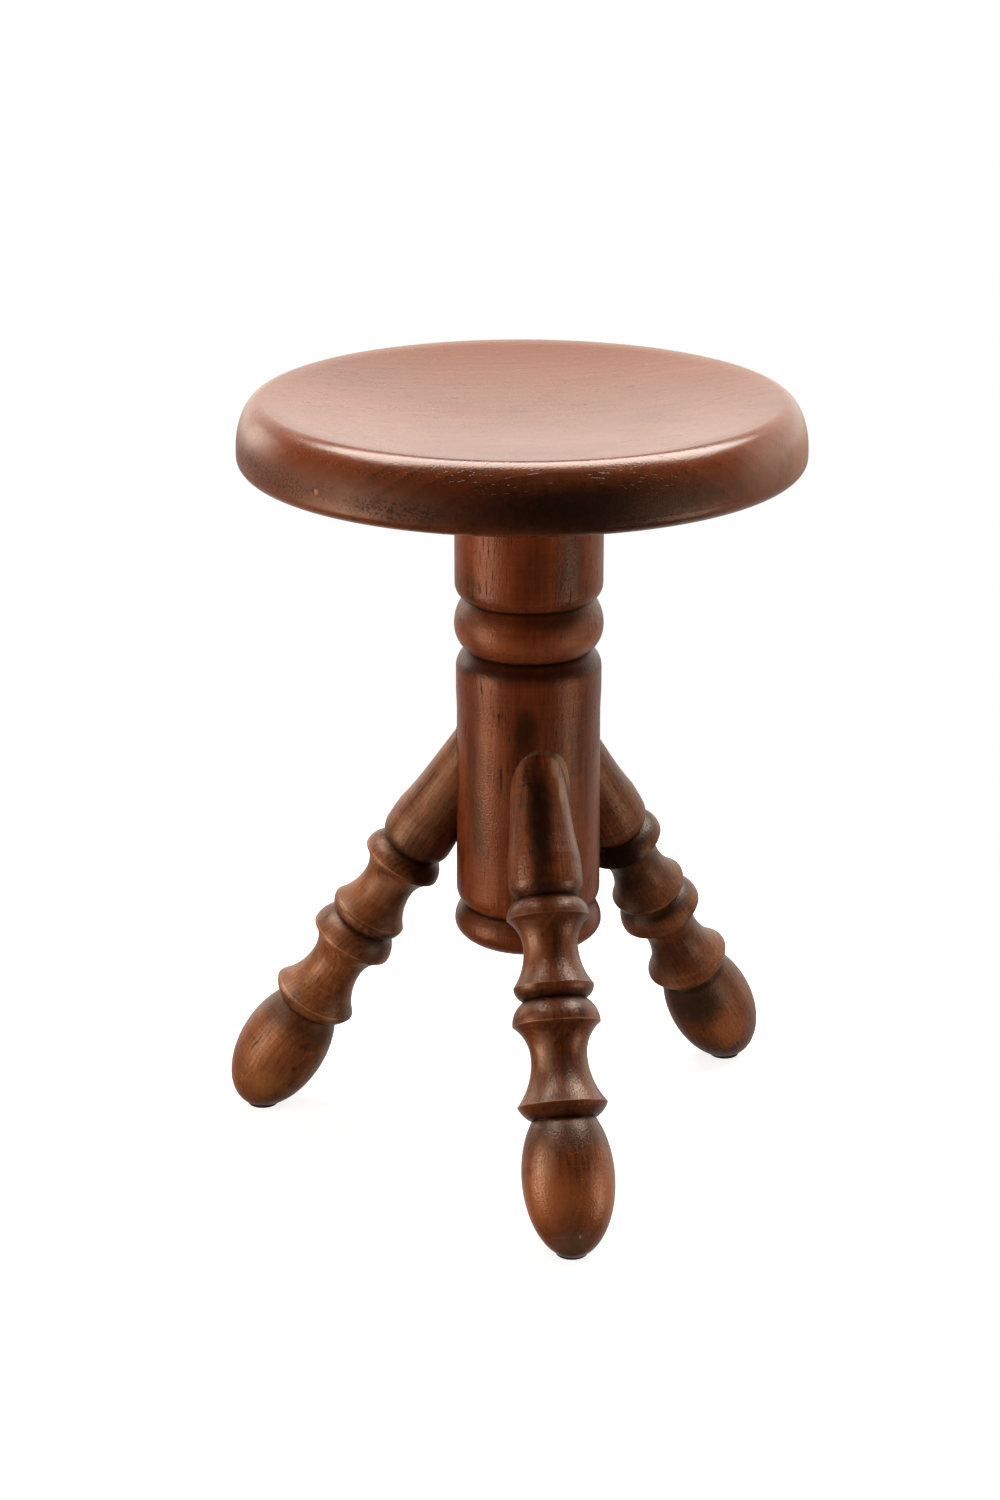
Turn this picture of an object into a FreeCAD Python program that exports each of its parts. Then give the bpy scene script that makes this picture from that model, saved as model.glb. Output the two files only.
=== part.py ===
import FreeCAD, Part
import math
import os
import re
import Sketcher

# A turned tripod stool. A dished round seat stands on one turned column. Three turned legs are let into
# the column, and their axes meet in one point of its axis. Each foot stands on a nailed glide.
# Millimetres and degrees. +Z is up, the floor is Z = 0, and the column's axis is the Z axis.

SIZES = {
    # Stance. The azimuths are measured from +X, and the front leg points to -Y.
    "splay": 31.0,
    "front_azimuth": 270.0,
    "right_azimuth": 32.6,
    "left_azimuth": 159.6,
    # Leg. Lengths run down the leg's axis from the point where the three axes meet.
    "leg_start": 42.0,
    "taper_length": 44.6,
    "flare_length": 27.6,
    "shoulder_length": 14.2,
    "shoulder_round_length": 9.0,
    "first_ring_length": 11.3,
    "first_cove_length": 16.9,
    "second_flare_length": 22.2,
    "second_ring_length": 7.9,
    "third_ring_length": 13.8,
    "second_cove_length": 18.6,
    "fourth_flare_length": 27.0,
    "fourth_ring_length": 8.4,
    "foot_half_length": 45.0,
    "leg_end_radius": 14.0,
    "taper_radius": 17.3,
    "flare_radius": 20.9,
    "shoulder_radius": 21.4,
    "first_groove_radius": 17.0,
    "first_ring_radius": 23.9,
    "first_neck_radius": 15.6,
    "second_ring_radius": 23.0,
    "second_groove_radius": 18.0,
    "third_ring_radius": 25.2,
    "second_neck_radius": 16.0,
    "fourth_ring_radius": 25.7,
    "fourth_ring_round": 17.0,
    "foot_radius": 26.3,
    "foot_groove_share": 0.72,
    "foot_flat_depth": 2.7,
    # Column. Lengths run down from its shoulder under the seat, which is the rise above the meeting point.
    "column_rise": 118.8,
    "collar_length": 77.7,
    "collar_round_length": 9.0,
    "bead_upper_length": 16.0,
    "bead_lower_length": 14.7,
    "body_length": 155.4,
    "body_head_round_length": 11.0,
    "body_head_length": 13.4,
    "body_step_length": 12.0,
    "body_foot_round_length": 9.5,
    "end_bead_upper_length": 11.5,
    "end_bead_lower_length": 13.7,
    "collar_radius": 42.7,
    "collar_groove_radius": 37.8,
    "bead_radius": 43.1,
    "body_groove_radius": 36.0,
    "body_head_radius": 42.1,
    "waist_radius": 41.6,
    "body_foot_radius": 42.2,
    "end_groove_radius": 38.0,
    "end_bead_radius": 43.2,
    "end_flat_radius": 19.5,
    # Seat. Its underside is flat, and its crest is the highest ring of the dished top.
    # It sits a little to the left of the column, so its mortise is off its centre.
    "seat_offset": 4.2,
    "seat_radius": 161.4,
    "under_round_width": 9.7,
    "under_round_height": 8.5,
    "side_height": 3.5,
    "crest_inset": 14.5,
    "roll_height": 27.6,
    "lip_width": 10.0,
    "dish_depth": 10.0,
    # Joints. The tenons end blind and are spread by wedges.
    "tenon_radius": 20.0,
    "tenon_length": 20.0,
    "tenon_chamfer": 1.5,
    "seat_wedge_length": 17.0,
    "seat_wedge_thickness": 3.2,
    "leg_wedge_length": 20.0,
    "leg_wedge_thickness": 2.6,
    "wedge_tip_share": 0.3,
    "wedge_inset": 2.0,
    "glue_gap": 0.1,
    "end_gap": 0.4,
    # Glides and their nails.
    "glide_radius": 9.0,
    "glide_thickness": 2.0,
    "glide_edge_round": 0.6,
    "nail_recess": 0.3,
    "nail_head_height": 0.8,
    "nail_head_radius": 2.2,
    "nail_shank_radius": 0.9,
    "nail_shank_length": 16.0,
    "nail_point_length": 2.5,
    # How far a cutting shape runs past what it cuts.
    "overrun": 5.0,
}
LEGS = ("front", "left", "right")
FULL_TURN = 360

document = FreeCAD.newDocument("tripod_stool")
sheet = document.addObject("Spreadsheet::Sheet", "Sizes")
for row, (name, size) in enumerate(SIZES.items(), start=1):
    sheet.set(f"A{row}", name)
    sheet.set(f"B{row}", str(size))
    sheet.setAlias(f"B{row}", name)
document.recompute()


def bound(text):
    """The formula with every size's name pointing at its cell."""
    return re.sub(r"[a-z_]+", lambda word: f"Sizes.{word[0]}" if word[0] in SIZES else word[0], str(text))


def value(text):
    """What a formula gives now."""
    return float(sheet.evalExpression(bound(text)))


def total(*lengths):
    """A formula for the sum of lengths."""
    return "(" + " + ".join(lengths) + ")"


# Places down the leg, measured from the meeting point.
TAPER_END = total("leg_start", "taper_length")
FLARE_END = total(TAPER_END, "flare_length")
SHOULDER = total(FLARE_END, "shoulder_length")
FIRST_GROOVE = total(SHOULDER, "shoulder_round_length")
FIRST_RING = total(FIRST_GROOVE, "first_ring_length")
FIRST_NECK = total(FIRST_RING, "first_cove_length")
SECOND_RING = total(FIRST_NECK, "second_flare_length")
SECOND_GROOVE = total(SECOND_RING, "second_ring_length")
THIRD_RING = total(SECOND_GROOVE, "third_ring_length")
SECOND_NECK = total(THIRD_RING, "second_cove_length")
FOURTH_RING = total(SECOND_NECK, "fourth_flare_length")
FOOT_GROOVE = total(FOURTH_RING, "fourth_ring_length")
FOOT_CENTRE = total(FOOT_GROOVE, "foot_half_length * foot_groove_share")
FOOT_END = total(FOOT_CENTRE, "foot_half_length")
FOOT_GROOVE_RADIUS = "(foot_radius * sqrt(1 - pow(foot_groove_share; 2)))"

# The foot is half an egg. FOOT_DROP is how far below its centre its lowest point would be, and the flat is
# cut above that. FLAT_SHARE turns the egg's squared half sizes into the place of the flat's middle.
FOOT_DROP = "sqrt(pow(foot_half_length * cos(splay); 2) + pow(foot_radius * sin(splay); 2))"
FLAT_SHARE = f"(({FOOT_DROP} - foot_flat_depth) / pow({FOOT_DROP}; 2))"
FLAT_DEPTH = f"({FOOT_CENTRE} * cos(splay) + {FOOT_DROP} - foot_flat_depth)"
FLAT_SIDE = f"({FLAT_SHARE} * pow(foot_radius; 2) * sin(splay))"
FLAT_ALONG = f"({FOOT_CENTRE} + {FLAT_SHARE} * pow(foot_half_length; 2) * cos(splay))"
FOOT_REACH = f"({FLAT_ALONG} * sin(splay) - {FLAT_SIDE} * cos(splay))"
MEETING_HEIGHT = f"({FLAT_DEPTH} + glide_thickness)"

# Heights on the column, measured from the meeting point.
COLLAR_GROOVE = "(column_rise - collar_length)"
BEAD = f"({COLLAR_GROOVE} - bead_upper_length)"
BODY_GROOVE = f"({BEAD} - bead_lower_length)"
BODY_HEAD = f"({BODY_GROOVE} - body_head_round_length)"
END_GROOVE = f"({BODY_GROOVE} - body_length)"
END_BEAD = f"({END_GROOVE} - end_bead_upper_length)"
COLUMN_END = f"({END_BEAD} - end_bead_lower_length)"

# Heights on the seat, measured from its underside.
SIDE_TOP = "(under_round_height + side_height)"
CREST = f"({SIDE_TOP} + roll_height)"
CREST_RADIUS = "(seat_radius - crest_inset)"
LIP_DROP = f"(dish_depth * lip_width / {CREST_RADIUS})"


class Outline:
    """A closed outline in a sketch of its own, whose corners and curves are bound to the sheet."""

    def __init__(self, body, name, offset=None):
        self.sketch = body.newObject("Sketcher::SketchObject", name)
        front_plane = next(part for part in body.Origin.OriginFeatures if part.Role == "XZ_Plane")
        self.sketch.AttachmentSupport = [(front_plane, "")]
        self.sketch.MapMode = "FlatFace"
        if offset:
            self.sketch.setExpression("AttachmentOffset", bound(offset))
        self.first = None
        self.corner = None
        self.begin = None
        self.path = []

    def bind(self, kind, geometry, point, formula):
        """Hold a point's distance from the sketch's origin to a formula."""
        if value(formula) == 0:
            axis = -2 if kind == "DistanceX" else -1
            self.sketch.addConstraint(Sketcher.Constraint("PointOnObject", geometry, point, axis))
            return
        index = self.sketch.addConstraint(Sketcher.Constraint(kind, -1, 1, geometry, point, value(formula)))
        self.sketch.setExpression(f"Constraints[{index}]", bound(formula))

    def start(self, across, up):
        self.first = (across, up)
        self.corner = (across, up)

    def join(self, geometry, begin, end, across, up):
        """Join a new edge's beginning to the edge before it, and hold its far end."""
        if self.path:
            last, last_end = self.path[-1]
            self.sketch.addConstraint(Sketcher.Constraint("Coincident", last, last_end, geometry, begin))
        else:
            self.begin = (geometry, begin)
            self.bind("DistanceX", geometry, begin, self.first[0])
            self.bind("DistanceY", geometry, begin, self.first[1])
        if (across, up) == self.first:
            self.sketch.addConstraint(Sketcher.Constraint("Coincident", geometry, end, *self.begin))
        else:
            self.bind("DistanceX", geometry, end, across)
            self.bind("DistanceY", geometry, end, up)
        self.path.append((geometry, end))
        self.corner = (across, up)

    def points(self, across, up):
        """The places of the edge's two ends now."""
        here = FreeCAD.Vector(value(self.corner[0]), value(self.corner[1]))
        there = FreeCAD.Vector(value(across), value(up))
        return here, there

    def line(self, across, up):
        here, there = self.points(across, up)
        geometry = self.sketch.addGeometry(Part.LineSegment(here, there))
        self.join(geometry, 1, 2, across, up)

    def sweep(self, curve, here, there, across, up):
        """Add the shorter stretch of a circle or an ellipse between two of its points."""
        before = here - curve.Center
        after = there - curve.Center
        forward = before.x * after.y - before.y * after.x > 0
        ends = (here, there) if forward else (there, here)
        arc_type = Part.ArcOfCircle if isinstance(curve, Part.Circle) else Part.ArcOfEllipse
        geometry = self.sketch.addGeometry(arc_type(curve, *(curve.parameter(end) for end in ends)))
        self.join(geometry, *((1, 2) if forward else (2, 1)), across, up)
        return geometry

    def level_arc(self, across, up, level):
        """A round edge whose centre is at the given height, so that it runs upright there."""
        here, there = self.points(across, up)
        height = value(level)
        squares = there.x ** 2 - here.x ** 2 + (there.y - height) ** 2 - (here.y - height) ** 2
        centre = FreeCAD.Vector(squares / (there.x - here.x) / 2, height)
        circle = Part.Circle(centre, FreeCAD.Vector(0, 0, 1), centre.distanceToPoint(here))
        geometry = self.sweep(circle, here, there, across, up)
        self.bind("DistanceY", geometry, 3, level)

    def plumb_arc(self, across, up, plumb):
        """A round edge whose centre is at the given radius, so that it runs level there."""
        here, there = self.points(across, up)
        side = value(plumb)
        squares = there.y ** 2 - here.y ** 2 + (there.x - side) ** 2 - (here.x - side) ** 2
        centre = FreeCAD.Vector(side, squares / (there.y - here.y) / 2)
        circle = Part.Circle(centre, FreeCAD.Vector(0, 0, 1), centre.distanceToPoint(here))
        geometry = self.sweep(circle, here, there, across, up)
        self.bind("DistanceX", geometry, 3, plumb)

    def radius_arc(self, across, up, radius):
        """A round edge of the given radius that bulges to the right of its way."""
        here, there = self.points(across, up)
        chord = there - here
        reach = math.sqrt(value(radius) ** 2 - (chord.Length / 2) ** 2)
        centre = (here + there) / 2 + FreeCAD.Vector(-chord.y, chord.x).normalize() * reach
        circle = Part.Circle(centre, FreeCAD.Vector(0, 0, 1), value(radius))
        geometry = self.sweep(circle, here, there, across, up)
        index = self.sketch.addConstraint(Sketcher.Constraint("Radius", geometry, value(radius)))
        self.sketch.setExpression(f"Constraints[{index}]", bound(radius))

    def oval_arc(self, across, up, centre, half_width, half_height):
        """Part of an upright ellipse with the given centre and half sizes."""
        here, there = self.points(across, up)
        middle = FreeCAD.Vector(value(centre[0]), value(centre[1]))
        wide = FreeCAD.Vector(value(half_width), 0)
        high = FreeCAD.Vector(0, value(half_height))
        is_wide = wide.Length > high.Length
        major, minor = (wide, high) if is_wide else (high, -wide)
        ellipse = Part.Ellipse(middle + major, middle + minor, middle)
        geometry = self.sweep(ellipse, here, there, across, up)
        self.sketch.exposeInternalGeometry(geometry)
        major_line = geometry + 1
        self.sketch.addConstraint(Sketcher.Constraint("Horizontal" if is_wide else "Vertical", major_line))
        self.bind("DistanceX", geometry, 3, centre[0])
        self.bind("DistanceY", geometry, 3, centre[1])

    def close(self):
        self.line(*self.first)
        document.recompute()
        return self.sketch


def new_body(name):
    body = document.addObject("PartDesign::Body", name)
    body.Label = name
    return body


def place(body, across="0", back="0", up="0", turn="0", tilt="0"):
    """Put a piece at its place: moved, turned about Z and tilted about its own Y axis."""
    place_formula = f"placement(vector({across}; {back}; {up}); rotation({turn}; {tilt}; 0))"
    body.setExpression("Placement", bound(place_formula))


def turned(body, sketch, name="turned", kind="Revolution"):
    """Turn an outline about its sketch's upright axis, to add or to cut."""
    feature = body.newObject(f"PartDesign::{kind}", name)
    feature.Profile = sketch
    feature.ReferenceAxis = (sketch, ["V_Axis"])
    feature.Angle = FULL_TURN
    sketch.Visibility = False
    document.recompute()
    return feature


def through(body, sketch, name, kind, width=None):
    """Push an outline both ways from its sketch, by a width or through all, to add or to cut."""
    feature = body.newObject(f"PartDesign::{kind}", name)
    feature.Profile = sketch
    feature.SideType = "Symmetric"
    if width:
        feature.setExpression("Length", bound(width))
    else:
        feature.Type = "ThroughAll"
    sketch.Visibility = False
    document.recompute()
    return feature


def bored(body, name, radius, depth, offset, inward_is_up=False):
    """Bore a round blind hole from a plane of the piece's own."""
    sketch = body.newObject("Sketcher::SketchObject", f"{name}_circle")
    origin_plane = next(part for part in body.Origin.OriginFeatures if part.Role == "XY_Plane")
    sketch.AttachmentSupport = [(origin_plane, "")]
    sketch.MapMode = "FlatFace"
    sketch.setExpression("AttachmentOffset", bound(offset))
    circle = Part.Circle(FreeCAD.Vector(0, 0, 0), FreeCAD.Vector(0, 0, 1), value(radius))
    geometry = sketch.addGeometry(circle)
    sketch.addConstraint(Sketcher.Constraint("Coincident", geometry, 3, -1, 1))
    index = sketch.addConstraint(Sketcher.Constraint("Radius", geometry, value(radius)))
    sketch.setExpression(f"Constraints[{index}]", bound(radius))
    pocket = body.newObject("PartDesign::Pocket", name)
    pocket.Profile = sketch
    pocket.setExpression("Length", bound(depth))
    pocket.Reversed = inward_is_up
    sketch.Visibility = False
    document.recompute()
    return pocket


def wedge_outline(body, name, foot, thickness, length, sign):
    """The outline of a wedge: its thick end at the tenon's end, its thin end deeper in the tenon."""
    outline = Outline(body, name)
    tip = f"({thickness} * wedge_tip_share / 2)"
    tip_height = f"({foot} {sign} {length})"
    outline.start(f"(-{thickness} / 2)", foot)
    outline.line(f"({thickness} / 2)", foot)
    outline.line(tip, tip_height)
    outline.line(f"(-{tip})", tip_height)
    return outline.close()


def leg_top(outline, gap):
    """The leg's outline from its end in the column down to its shoulder, larger by a gap."""
    outline.line(f"(leg_end_radius + {gap})", outline.corner[1])
    outline.line(f"(taper_radius + {gap})", TAPER_END)
    outline.level_arc(f"(flare_radius + {gap})", FLARE_END, f"({TAPER_END} - flare_length / 2)")
    outline.level_arc(f"(shoulder_radius + {gap})", SHOULDER, SHOULDER)


def leg_wedge_slot(body, name):
    return wedge_outline(body, name, "leg_start", "leg_wedge_thickness", "leg_wedge_length", "+")


def seat_wedge_slot(body, name):
    tenon_end = "(column_rise + tenon_length)"
    return wedge_outline(body, name, tenon_end, "seat_wedge_thickness", "seat_wedge_length", "-")


def make_leg(side):
    """One leg: a tapered end, a shoulder, four rings with coves and grooves, and an egg-shaped foot."""
    body = new_body(f"leg_{side}")
    outline = Outline(body, "leg_outline")
    outline.start("0", "leg_start")
    leg_top(outline, "0")
    outline.level_arc("first_groove_radius", FIRST_GROOVE, SHOULDER)
    outline.level_arc("first_ring_radius", FIRST_RING, FIRST_RING)
    outline.level_arc("first_neck_radius", FIRST_NECK, FIRST_NECK)
    outline.level_arc("second_ring_radius", SECOND_RING, FIRST_NECK)
    outline.level_arc("second_groove_radius", SECOND_GROOVE, SECOND_RING)
    outline.level_arc("third_ring_radius", THIRD_RING, THIRD_RING)
    outline.level_arc("second_neck_radius", SECOND_NECK, SECOND_NECK)
    outline.level_arc("fourth_ring_radius", FOURTH_RING, SECOND_NECK)
    outline.radius_arc(FOOT_GROOVE_RADIUS, FOOT_GROOVE, "fourth_ring_round")
    outline.oval_arc("0", FOOT_END, ("0", FOOT_CENTRE), "foot_radius", "foot_half_length")
    turned(body, outline.close())

    level = "placement(vector(0; 0; 0); rotation(vector(0; 0; 1); -splay))"
    cut = Outline(body, "floor_cut_outline", level)
    near = f"(-{FOOT_END})"
    beyond = f"({FLAT_DEPTH} + foot_flat_depth + overrun)"
    cut.start(near, FLAT_DEPTH)
    cut.line("foot_radius", FLAT_DEPTH)
    cut.line("foot_radius", beyond)
    cut.line(near, beyond)
    through(body, cut.close(), "floor_cut", "Pocket")

    through(body, leg_wedge_slot(body, "wedge_slot_outline"), "wedge_slot", "Pocket")
    flat_place = f"placement(vector({FLAT_SIDE}; 0; {FLAT_ALONG}); rotation(vector(0; 1; 0); splay))"
    nail_depth = "(nail_shank_length + nail_recess + nail_head_height - glide_thickness + end_gap)"
    bored(body, "nail_hole", "(nail_shank_radius + glue_gap)", nail_depth, flat_place)
    place(body, up=MEETING_HEIGHT, turn=f"{side}_azimuth", tilt="180 - splay")
    return body


def make_leg_wedge(side):
    body = new_body(f"leg_wedge_{side}")
    width = "(2 * leg_end_radius - 2 * wedge_inset)"
    through(body, leg_wedge_slot(body, "wedge_outline"), "wedge", "Pad", width)
    place(body, up=MEETING_HEIGHT, turn=f"{side}_azimuth", tilt="180 - splay")
    return body


def make_column():
    """The column: an end bead, a long body, a bead, a collar and the tenon in the seat."""
    body = new_body("column")
    outline = Outline(body, "column_outline")
    outline.start("0", COLUMN_END)
    outline.line("end_flat_radius", COLUMN_END)
    outline.oval_arc("end_bead_radius", END_BEAD, ("end_flat_radius", END_BEAD),
                     "(end_bead_radius - end_flat_radius)", "end_bead_lower_length")
    outline.level_arc("end_groove_radius", END_GROOVE, END_BEAD)
    foot_round = f"({END_GROOVE} + body_foot_round_length)"
    outline.level_arc("body_foot_radius", foot_round, foot_round)
    outline.line("waist_radius", f"({BODY_HEAD} - body_head_length - body_step_length)")
    outline.line("body_head_radius", f"({BODY_HEAD} - body_head_length)")
    outline.line("body_head_radius", BODY_HEAD)
    outline.level_arc("body_groove_radius", BODY_GROOVE, BODY_HEAD)
    outline.level_arc("bead_radius", BEAD, BEAD)
    outline.level_arc("collar_groove_radius", COLLAR_GROOVE, BEAD)
    collar_round = f"({COLLAR_GROOVE} + collar_round_length)"
    outline.level_arc("collar_radius", collar_round, collar_round)
    outline.line("collar_radius", "column_rise")
    outline.line("tenon_radius", "column_rise")
    outline.line("tenon_radius", "(column_rise + tenon_length - tenon_chamfer)")
    outline.line("(tenon_radius - tenon_chamfer)", "(column_rise + tenon_length)")
    outline.line("0", "(column_rise + tenon_length)")
    turned(body, outline.close())

    for side in LEGS:
        leg_turn = f"rotation(vector(0; 1; 0); {side}_azimuth) * rotation(vector(0; 0; 1); splay - 180)"
        socket = Outline(body, f"socket_{side}_outline", f"placement(vector(0; 0; 0); {leg_turn})")
        socket.start("0", "(leg_start - end_gap)")
        leg_top(socket, "glue_gap")
        socket.line("0", SHOULDER)
        turned(body, socket.close(), f"socket_{side}", "Groove")
    through(body, seat_wedge_slot(body, "wedge_slot_outline"), "wedge_slot", "Pocket")
    place(body, up=MEETING_HEIGHT)
    return body


def make_seat_wedge():
    body = new_body("seat_wedge")
    width = "(2 * tenon_radius - 2 * wedge_inset)"
    through(body, seat_wedge_slot(body, "wedge_outline"), "wedge", "Pad", width)
    place(body, up=MEETING_HEIGHT)
    return body


def make_seat():
    """The seat: flat below, rounded at its edge, dished on top, bored for the column's tenon."""
    body = new_body("seat")
    outline = Outline(body, "seat_outline")
    outline.start("0", "0")
    flat_radius = "(seat_radius - under_round_width)"
    round_centre = (flat_radius, "under_round_height")
    outline.line(flat_radius, "0")
    outline.oval_arc("seat_radius", "under_round_height", round_centre, "under_round_width", "under_round_height")
    outline.line("seat_radius", SIDE_TOP)
    outline.oval_arc(CREST_RADIUS, CREST, (CREST_RADIUS, SIDE_TOP), "crest_inset", "roll_height")
    outline.plumb_arc(f"({CREST_RADIUS} - lip_width)", f"({CREST} - {LIP_DROP})", CREST_RADIUS)
    outline.plumb_arc("0", f"({CREST} - dish_depth)", "0")
    turned(body, outline.close())
    mortise_place = "placement(vector(seat_offset; 0; 0); rotation(0; 0; 0))"
    depth = "(tenon_length + end_gap)"
    bored(body, "mortise", "(tenon_radius + glue_gap)", depth, mortise_place, inward_is_up=True)
    place(body, across="-seat_offset", up=f"({MEETING_HEIGHT} + column_rise)")
    return body


def make_glide(side):
    """A round pad under a foot, with a countersunk place for its nail's head."""
    body = new_body(f"glide_{side}")
    bore = "(nail_shank_radius + glue_gap)"
    head_bore = "(nail_head_radius + glue_gap)"
    head_seat = "(nail_recess + nail_head_height)"
    outline = Outline(body, "glide_outline")
    outline.start(bore, "glide_thickness")
    outline.line(bore, head_seat)
    outline.line(head_bore, head_seat)
    outline.line(head_bore, "0")
    outline.line("(glide_radius - glide_edge_round)", "0")
    outline.level_arc("glide_radius", "glide_edge_round", "glide_edge_round")
    outline.line("glide_radius", "glide_thickness")
    turned(body, outline.close())
    place(body, **under_foot(side))
    return body


def make_nail(side):
    body = new_body(f"glide_nail_{side}")
    head_top = "(nail_recess + nail_head_height)"
    outline = Outline(body, "nail_outline")
    outline.start("0", "nail_recess")
    outline.line("nail_head_radius", "nail_recess")
    outline.line("nail_head_radius", head_top)
    outline.line("nail_shank_radius", head_top)
    outline.line("nail_shank_radius", f"({head_top} + nail_shank_length - nail_point_length)")
    outline.line("0", f"({head_top} + nail_shank_length)")
    turned(body, outline.close())
    place(body, **under_foot(side))
    return body


def under_foot(side):
    """Where the middle of a foot's flat is on the floor."""
    azimuth = f"{side}_azimuth"
    across = f"{FOOT_REACH} * cos({azimuth})"
    back = f"{FOOT_REACH} * sin({azimuth})"
    return {"across": across, "back": back, "turn": azimuth}


def grouped(name, bodies):
    """One node for pieces that are alike."""
    group = document.addObject("Part::Compound", name)
    group.Label = name
    group.Links = bodies
    return group


nodes = [make_seat(), make_seat_wedge(), make_column()]
nodes += [make_leg(side) for side in LEGS]
nodes += [make_glide(side) for side in LEGS]
nodes.append(grouped("leg_wedges", [make_leg_wedge(side) for side in LEGS]))
nodes.append(grouped("glide_nails", [make_nail(side) for side in LEGS]))
document.recompute()

for item in document.Objects:
    if "Invalid" in item.State or "Error" in item.State:
        raise RuntimeError(f"{item.Label} failed: {item.State}")
for item in document.Objects:
    if item.isDerivedFrom("Sketcher::SketchObject") and item.solve() != 0:
        raise RuntimeError(f"{item.Label} doesn't solve")
    if item.TypeId in ("PartDesign::Pocket", "PartDesign::Groove"):
        cut_away = item.BaseFeature.Shape.Volume - item.Shape.Volume
        if cut_away <= 0:
            raise RuntimeError(f"{item.Label} cuts nothing")

os.makedirs("parts", exist_ok=True)
for node in nodes:
    if node.Shape.isNull() or not node.Shape.isValid():
        raise RuntimeError(f"{node.Label} has no valid shape")
    node.Shape.exportStep(f"parts/{node.Label}.step")
    box = node.Shape.BoundBox
    print(f"{node.Label}: {len(node.Shape.Solids)} solids, {node.Shape.Volume / 1000:.1f} cm3, "
          f"Z {box.ZMin:.1f} to {box.ZMax:.1f}")
height = value(MEETING_HEIGHT) + value("column_rise") + value(CREST)
print(f"meeting point at {value(MEETING_HEIGHT):.2f}, feet {value(FOOT_REACH):.2f} from the axis, height {height:.2f}")
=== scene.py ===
# %% [markdown]
# A turned tripod stool. The seat, the column and the legs are solid wood with a walnut-brown stain under a
# satin lacquer. The imported solids already have the right shapes, so the work here is what a finisher does:
# the grain, the stain that gathers in the grooves, the worn edges and the gloss. Only the filler round the
# legs' joints is modelled anew.
#
# The first cell loads the solids. Their box is kept.

# %% Load the solids
import math

import bpy
from mathutils import Euler, Matrix, Vector


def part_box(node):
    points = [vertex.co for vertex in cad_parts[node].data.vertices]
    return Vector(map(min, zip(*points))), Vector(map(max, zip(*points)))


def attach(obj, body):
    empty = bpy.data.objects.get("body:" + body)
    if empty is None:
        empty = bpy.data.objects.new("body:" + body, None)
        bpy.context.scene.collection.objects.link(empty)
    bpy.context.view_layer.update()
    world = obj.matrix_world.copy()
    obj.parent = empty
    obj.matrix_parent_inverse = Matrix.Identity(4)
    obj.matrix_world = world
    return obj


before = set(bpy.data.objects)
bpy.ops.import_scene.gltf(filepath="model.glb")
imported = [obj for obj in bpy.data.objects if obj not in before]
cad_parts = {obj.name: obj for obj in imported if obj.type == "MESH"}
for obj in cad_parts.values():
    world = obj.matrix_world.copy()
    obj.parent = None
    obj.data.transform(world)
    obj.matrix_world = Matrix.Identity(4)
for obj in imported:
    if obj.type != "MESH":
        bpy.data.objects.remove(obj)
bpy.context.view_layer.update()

print("pieces:", ", ".join(sorted(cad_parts)))

# %% [markdown]
# Wood grain runs along the blank that a turner started from. So each piece needs its own axes: along the
# column it is straight up, along a leg it has the leg's own slant, and across the seat it runs left to
# right. The three legs' axes meet in one point of the column's axis. Each leg's compass direction is read
# from the glide that it stands on, so it can't drift from the solids.

# %% Axes of the pieces
SPLAY = math.radians(31.0)
MEETING_HEIGHT = 0.2938
SEAT_CENTRE = (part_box("seat")[0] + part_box("seat")[1]) / 2
SIDES = ("front", "left", "right")


def azimuth(side):
    """The compass direction of a leg, from its glide's middle."""
    low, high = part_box(f"glide_{side}")
    middle = (low + high) / 2
    return math.atan2(middle.y, middle.x)


LEG_TURN = {side: (0, math.pi - SPLAY, azimuth(side)) for side in SIDES}
print("legs:", {side: round(math.degrees(LEG_TURN[side][2]), 1) for side in SIDES})

# %% [markdown]
# The photograph looks down at the stool by about nineteen degrees, from just under two metres away, with a
# short telephoto lens. The place and the lens come from fitting the outlines of the seat, column and legs.

# %% Camera
CAMERA_PLACE = (-0.2873, -1.8822, 0.9017)
CAMERA_DOWN = math.radians(19.13)
CAMERA_HEADING = math.radians(-8.18)
CAMERA_LENS = 83.05

camera = bpy.data.objects.new("camera", bpy.data.cameras.new("camera"))
camera.location = CAMERA_PLACE
camera.rotation_euler = (math.pi / 2 - CAMERA_DOWN, 0, CAMERA_HEADING)
camera.data.lens = CAMERA_LENS
bpy.context.scene.collection.objects.link(camera)
bpy.context.scene.camera = camera
print("camera:", CAMERA_PLACE, "lens", CAMERA_LENS)

# %% [markdown]
# Nodes are laid by small helpers, so that each material below reads like a recipe. A value that is a socket
# is linked, and a plain value is set on the socket itself.

# %% Node helpers
def feed(tree, socket, value):
    """Link a socket to another, or set its value."""
    if isinstance(value, bpy.types.NodeSocket):
        tree.links.new(value, socket)
    else:
        socket.default_value = value


def add(tree, kind, inputs=None, **settings):
    """A new shader node, with its settings and its input sockets."""
    made = tree.nodes.new(f"ShaderNode{kind}")
    for name, value in settings.items():
        setattr(made, name, value)
    for name, value in (inputs or {}).items():
        feed(tree, made.inputs[name], value)
    return made


def calc(tree, operation, *values):
    """One sum on numbers."""
    made = tree.nodes.new("ShaderNodeMath")
    made.operation = operation
    for socket, value in zip(made.inputs, values):
        feed(tree, socket, value)
    return made.outputs[0]


def stretched(tree, vector, factors):
    """The same place with each axis multiplied by its own factor."""
    made = tree.nodes.new("ShaderNodeVectorMath")
    made.operation = "MULTIPLY"
    feed(tree, made.inputs[0], vector)
    feed(tree, made.inputs[1], factors)
    return made.outputs[0]


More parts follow.
